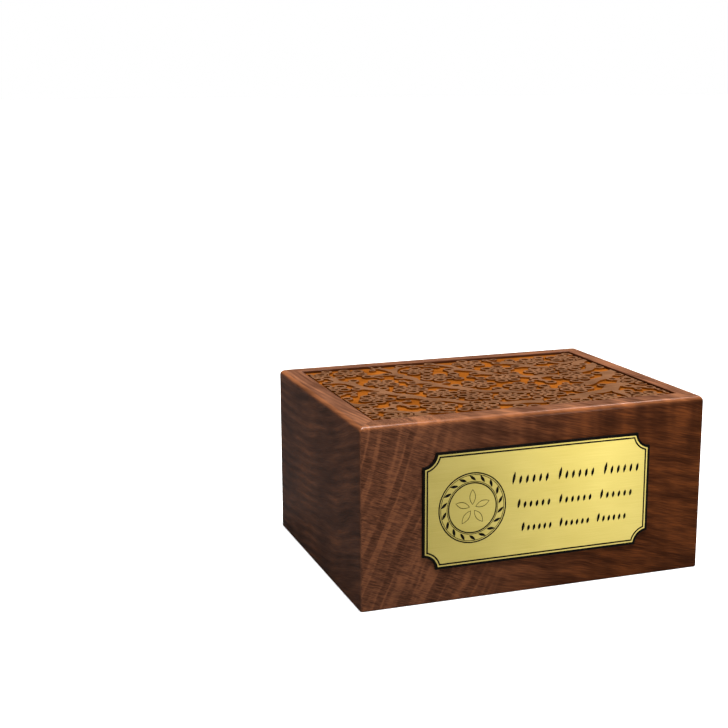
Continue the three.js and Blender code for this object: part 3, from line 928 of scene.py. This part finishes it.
def ringed_wood(name, across, lines, along, red, lift, seed):
    """Smooth growth rings along a board whose lines are given, with fine grain running along them."""
    nodes = Nodes(name)
    lines, along = lines(nodes), getattr(nodes, along)
    drift = nodes.noise(nodes.place(1 / 45, 1 / 45, 1 / 45, seed), 1.0)
    lines = nodes.total((1.0, lines), (7.0, drift), (2.0, getattr(nodes, across)))
    pace = nodes.noise(nodes.strip(lines, 1 / 14, along, 1 / 300, seed), 1.0)
    ring = nodes.math("SINE", nodes.total((2 * math.pi / RING, lines), (6.0, pace)))
    fade = nodes.noise(nodes.strip(lines, 1 / 10, along, 1 / 35, seed + 4.0), 2.0)
    ring = nodes.math("MULTIPLY", ring, nodes.spread(fade, *GRAIN, 0.01, 0.09))
    grain = nodes.noise(nodes.strip(lines, 1.5, along, 1 / 14, seed), 3.0, 0.6)
    cloud = nodes.noise(nodes.strip(lines, 1 / 12, along, 1 / 40, seed + 8.0), 2.0)
    tone = nodes.math("ADD", nodes.total((0.4, grain), (0.6, cloud), (1.0, ring)), lift)
    return satin(nodes, tone, red)


def rising_lines(nodes):
    """Lines that rise towards the front in a long curve."""
    run = nodes.math("SUBTRACT", BACK_Y, nodes.y)
    return nodes.math("MULTIPLY_ADD", nodes.math("MULTIPLY", run, run), RISE, nodes.z)


def level_lines(nodes):
    """Lines that run level, with a slight lean."""
    return nodes.total((1.0, nodes.z), (0.08, nodes.x))


def carved_wood(name, dark, light, corner_shade, rough, grain):
    """Cut wood between a dark and a light tone, with painted shade in its corners and recesses, where little
    open sky is seen.
    """
    nodes = Nodes(name)
    streak = nodes.noise(nodes.place(1 / 12, 1.3, 0.8, 2.0), 4.0, 0.6)
    blotch = nodes.noise(nodes.place(1 / 16, 1 / 16, 1 / 16, 9.0), 2.0)
    colour = nodes.ramp(nodes.total((0.6, streak), (0.4, blotch)), (0.36, dark), (0.64, light))
    # painted shade: colour goes to the dark tone where ambient occlusion finds corners
    open_sky = nodes.add("ShaderNodeAmbientOcclusion", {"samples": 8}, {"Distance": CORNER_REACH * MM})
    colour = nodes.blend(nodes.spread(open_sky.outputs["AO"], 0.3, 0.95), corner_shade, colour)
    return nodes.shade(
        Base_Color=colour, Roughness=nodes.spread(streak, *NOISE, rough - 0.06, rough + 0.06),
        Normal=nodes.bump(streak, grain, 0.1), Specular_IOR_Level=0.0,
    )


def brushed_brass():
    """Brass brushed from side to side, a little cloudy."""
    nodes = Nodes("brushed_brass")
    hair = nodes.noise(nodes.place(1 / 22, 0.0, 7.0, 0.0), 4.0, 0.7)
    cloud = nodes.noise(nodes.place(1 / 45, 0.0, 1 / 22, 4.0), 2.0)
    tone = nodes.total((0.6, hair), (0.4, cloud))
    colour = nodes.ramp(tone, (0.3, linear(183, 165, 84)), (0.7, linear(211, 194, 114)))
    return nodes.shade(
        Base_Color=colour, Metallic=1.0, Roughness=nodes.spread(hair, *NOISE, 0.32, 0.40),
        Normal=nodes.bump(hair, 0.15, 0.02), Anisotropic=0.8, Anisotropic_Rotation=0.25,
    )


def black_enamel():
    """The black of the plate's borders and of its filled engraving."""
    nodes = Nodes("black_enamel")
    speck = nodes.noise(nodes.place(1.0, 1.0, 1.0, 0.0), 2.0)
    colour = nodes.ramp(speck, (0.3, linear(6, 5, 4)), (0.7, linear(14, 12, 9)))
    return nodes.shade(
        Base_Color=colour, Roughness=nodes.spread(speck, *NOISE, 0.4, 0.55), Specular_IOR_Level=0.04,
    )


# Stage

def add_floor():
    """A pale floor, left open under the box so that the underside shows from below."""
    mesh = bpy.data.meshes.new("floor")
    corners = []
    for half_x, half_y, middle in (
        (FLOOR_REACH, FLOOR_REACH, 0.0),
        ((BOX_W / 2 - FLOOR_LAP) * MM, (BOX_D / 2 - FLOOR_LAP) * MM, BODY_Y * MM),
    ):
        corners += [(x * half_x, y * half_y + middle, 0) for x, y in ((-1, -1), (1, -1), (1, 1), (-1, 1))]
    mesh.from_pydata(corners, [], [(k, (k + 1) % 4, 4 + (k + 1) % 4, 4 + k) for k in range(4)])
    material = bpy.data.materials.new("pale_floor")
    material.use_nodes = True
    tree = material.node_tree
    shader = tree.nodes["Principled BSDF"]
    shader.inputs["Roughness"].default_value = 0.9
    shader.inputs["Specular IOR Level"].default_value = 0.0
    path = tree.nodes.new("ShaderNodeLightPath")
    shades = tree.nodes.new("ShaderNodeMix")
    shades.data_type = "RGBA"
    shades.inputs[6].default_value = (FLOOR_SHADE, FLOOR_SHADE, FLOOR_SHADE, 1)
    shades.inputs[7].default_value = (FLOOR_SEEN, FLOOR_SEEN, FLOOR_SEEN, 1)
    tree.links.new(path.outputs["Is Camera Ray"], shades.inputs[0])
    tree.links.new(shades.outputs[2], shader.inputs["Base Color"])
    glow = tree.nodes.new("ShaderNodeMath")
    glow.operation = "MULTIPLY"
    glow.inputs[1].default_value = FLOOR_GLOW
    tree.links.new(path.outputs["Is Camera Ray"], glow.inputs[0])
    tree.links.new(glow.outputs[0], shader.inputs["Emission Strength"])
    shader.inputs["Emission Color"].default_value = (1, 1, 1, 1)
    mesh.materials.append(material)
    floor = bpy.data.objects.new("floor", mesh)
    bpy.context.scene.collection.objects.link(floor)


def add_lights():
    """A wide overhead light, two softboxes, a low fill that is brighter from below, a pale backdrop."""
    world = bpy.data.worlds.new("studio")
    world.use_nodes = True
    tree = world.node_tree
    fill = tree.nodes["Background"]
    fill.inputs["Color"].default_value = (1, 1, 1, 1)
    place = tree.nodes.new("ShaderNodeTexCoord")
    split = tree.nodes.new("ShaderNodeSeparateXYZ")
    under = tree.nodes.new("ShaderNodeMapRange")
    for name, value in (("From Max", UNDER_FULL), ("To Min", FILL_LIGHT), ("To Max", UNDER_LIGHT)):
        under.inputs[name].default_value = value
    tree.links.new(place.outputs["Generated"], split.inputs[0])
    tree.links.new(split.outputs["Z"], under.inputs["Value"])
    tree.links.new(under.outputs[0], fill.inputs["Strength"])
    backdrop = tree.nodes.new("ShaderNodeBackground")
    backdrop.inputs["Color"].default_value = (1, 1, 1, 1)
    backdrop.inputs["Strength"].default_value = BACKDROP
    chosen = tree.nodes.new("ShaderNodeMixShader")
    path = tree.nodes.new("ShaderNodeLightPath")
    tree.links.new(path.outputs["Is Camera Ray"], chosen.inputs[0])
    tree.links.new(fill.outputs[0], chosen.inputs[1])
    tree.links.new(backdrop.outputs[0], chosen.inputs[2])
    tree.links.new(chosen.outputs[0], tree.nodes["World Output"].inputs[0])
    bpy.context.scene.world = world
    key = bpy.data.lights.new("key", "SUN")
    key.energy = KEY_LIGHT
    key.angle = math.radians(KEY_WIDE)
    lamp = bpy.data.objects.new("key", key)
    lamp.rotation_euler = (math.radians(KEY_LOW), 0, math.radians(KEY_TURN))
    bpy.context.scene.collection.objects.link(lamp)
    for name, (power, at, size) in SOFTBOXES.items():
        box = bpy.data.lights.new(name, "AREA")
        box.shape = "RECTANGLE"
        box.size, box.size_y = size
        box.energy = power
        lamp = bpy.data.objects.new(name, box)
        lamp.location = at
        lamp.rotation_euler = (-Vector(at)).to_track_quat("-Z", "Y").to_euler()
        bpy.context.scene.collection.objects.link(lamp)


def add_camera():
    """The camera, fitted to the box's corners as the photograph shows them."""
    data = bpy.data.cameras.new("camera")
    data.sensor_width = SENSOR_MM
    data.lens = data.sensor_width * FOCAL_PX / IMAGE_PX
    camera = bpy.data.objects.new("camera", data)
    tilt = Matrix.Rotation(math.radians(90 - CAMERA_DIP), 4, "X")
    turn = Matrix.Rotation(math.radians(-CAMERA_TURN), 4, "Z")
    roll = Matrix.Rotation(math.radians(CAMERA_ROLL), 4, "Z")
    camera.matrix_world = Matrix.Translation(CAMERA_AT) @ turn @ tilt @ roll
    bpy.context.scene.collection.objects.link(camera)
    bpy.context.scene.camera = camera


add_camera()
add_floor()
add_lights()
bpy.context.scene.view_settings.view_transform = "Standard"

back_wood = ringed_wood("back_wood", "y", level_lines, "x", red=0.4, lift=0.0, seed=8.0)
add_board("front_board", "front_wall", BOX_W, BOX_D / 2, 0, front_wood())
right_wood = ringed_wood("right_wood", "x", rising_lines, "y", red=0.5, lift=0.03, seed=11.0)
add_board("right_board", "right_wall", BOX_D, BOX_W / 2, 1, right_wood)
add_board("back_board", "back_wall", BOX_W, BOX_D / 2, 2, back_wood)
left_wood = ringed_wood("left_wood", "x", rising_lines, "y", red=0.0, lift=-0.02, seed=5.0)
add_board("left_board", "left_wall", BOX_D, BOX_W / 2, 3, left_wood)

# dark tone of the painted shade in the carving's corners
corner_shade = linear(62, 28, 2)
relief_top = carved_wood(
    "relief_top", linear(71, 47, 31), linear(102, 70, 48), linear(60, 35, 14), rough=0.55, grain=0.2
)
relief_side = carved_wood(
    "relief_side", linear(92, 43, 3), linear(130, 68, 10), corner_shade, rough=0.8, grain=0.3
)
relief_ground = carved_wood(
    "relief_ground", linear(79, 40, 7), linear(125, 69, 20), corner_shade, rough=0.8, grain=0.5
)
# pits: darker cut wood, painted shade
relief_pit_shade = carved_wood(
    "relief_pit_shade", linear(66, 32, 2), linear(98, 51, 5), linear(52, 24, 1), rough=0.8, grain=0.3
)
add_carved_panel([relief_top, relief_side, relief_ground, relief_pit_shade])

add_name_plate([brushed_brass(), black_enamel()])

add_base(back_wood)
